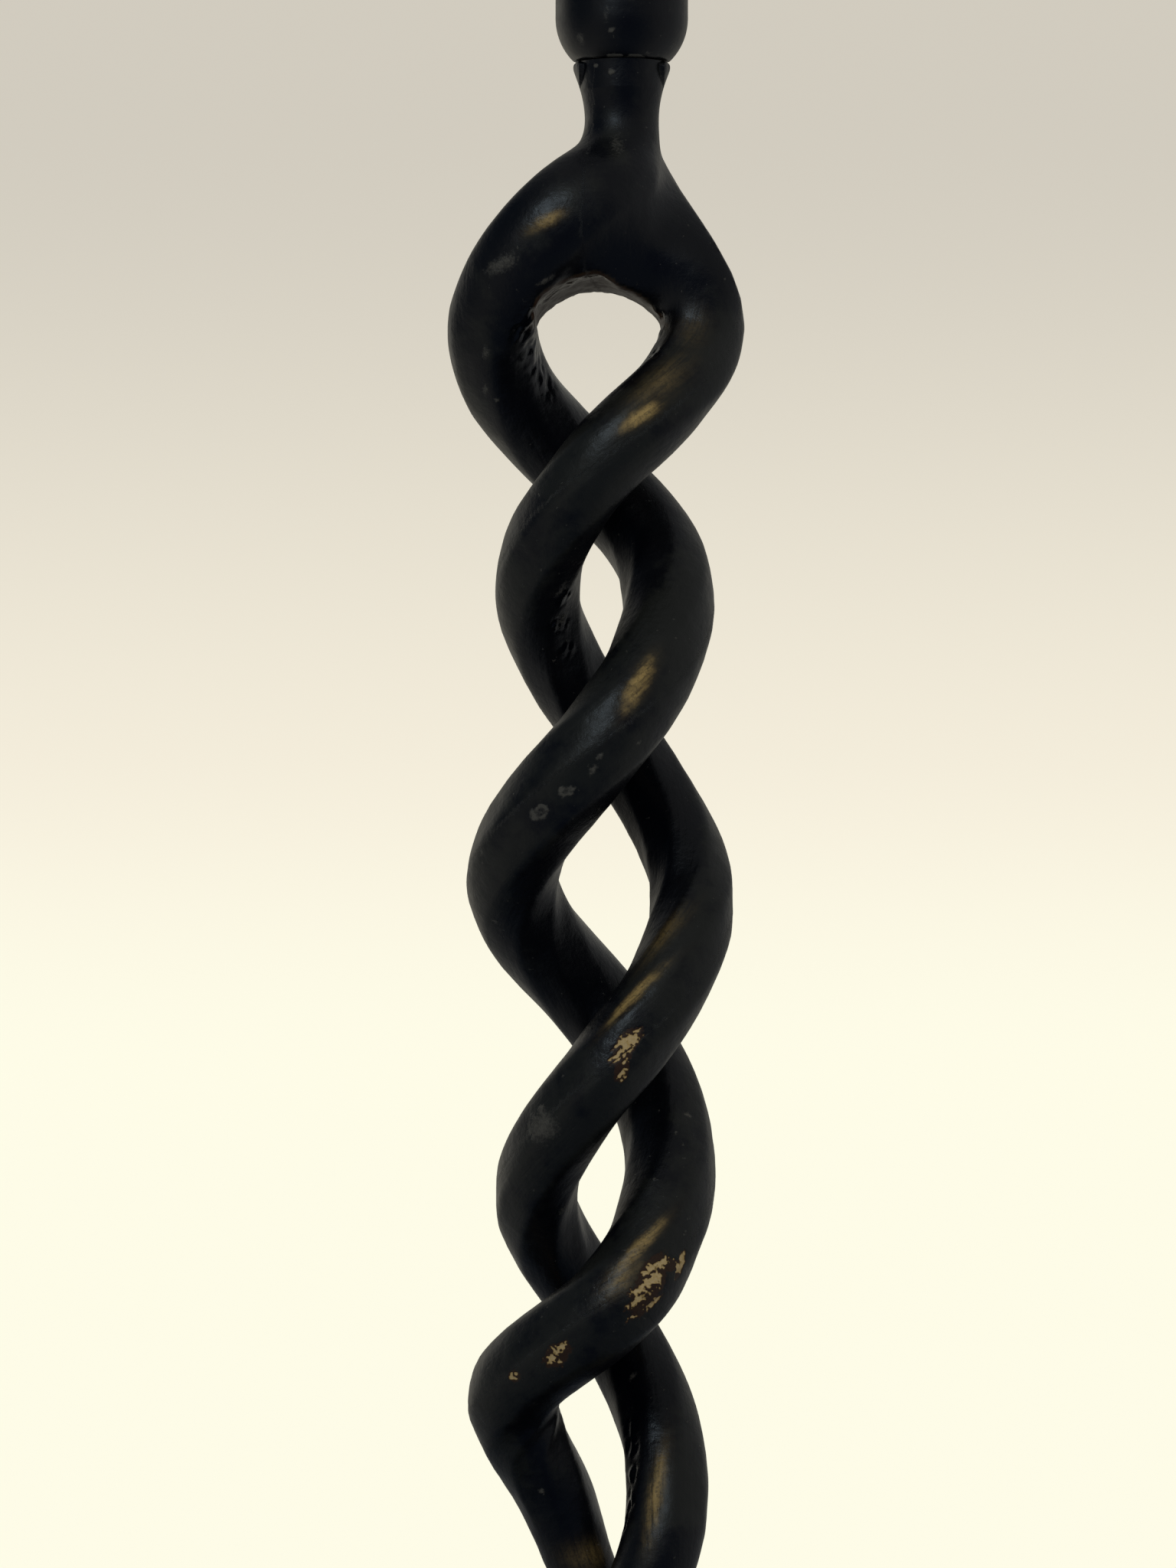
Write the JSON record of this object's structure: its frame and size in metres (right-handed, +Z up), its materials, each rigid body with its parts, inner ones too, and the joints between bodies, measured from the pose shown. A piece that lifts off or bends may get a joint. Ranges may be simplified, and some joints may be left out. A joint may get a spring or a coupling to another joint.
{
  "type": "candle holder",
  "caption": "Tall black wooden candle holder with an openwork twisted stem on a turned round base, and a cup with a brass liner for a dinner candle.",
  "frame": {"origin": "middle of the felt's underside, on the axis of the base and cup", "axes": "+Z up along the holder, +X to the right and +Y away from the viewer as pictured"},
  "size_m": [0.128, 0.128, 0.4912],
  "materials": {
    "black_wood": "black lacquer on carved wood, satin, rubbed and chipped at the edges",
    "pale_wood": "bare beech, glued",
    "brass": "spun brass, lightly aged",
    "steel": "zinc plated",
    "felt": "glued felt"
  },
  "bodies": {
    "stick": {"felt_pad": "felt", "base_foot": "black_wood", "base_riser": "black_wood", "base_screw": "steel", "base_washer": "steel", "twist_stem": "black_wood", "cup_dowel": "pale_wood", "candle_cup": "black_wood"},
    "liner": {"candle_liner": "brass"}
  },
  "joints": [
    {"name": "liner_lift", "type": "slide", "parent": "stick", "child": "liner", "axis": [0, 0, 1], "range_m": [0, 0.04]}
  ]
}
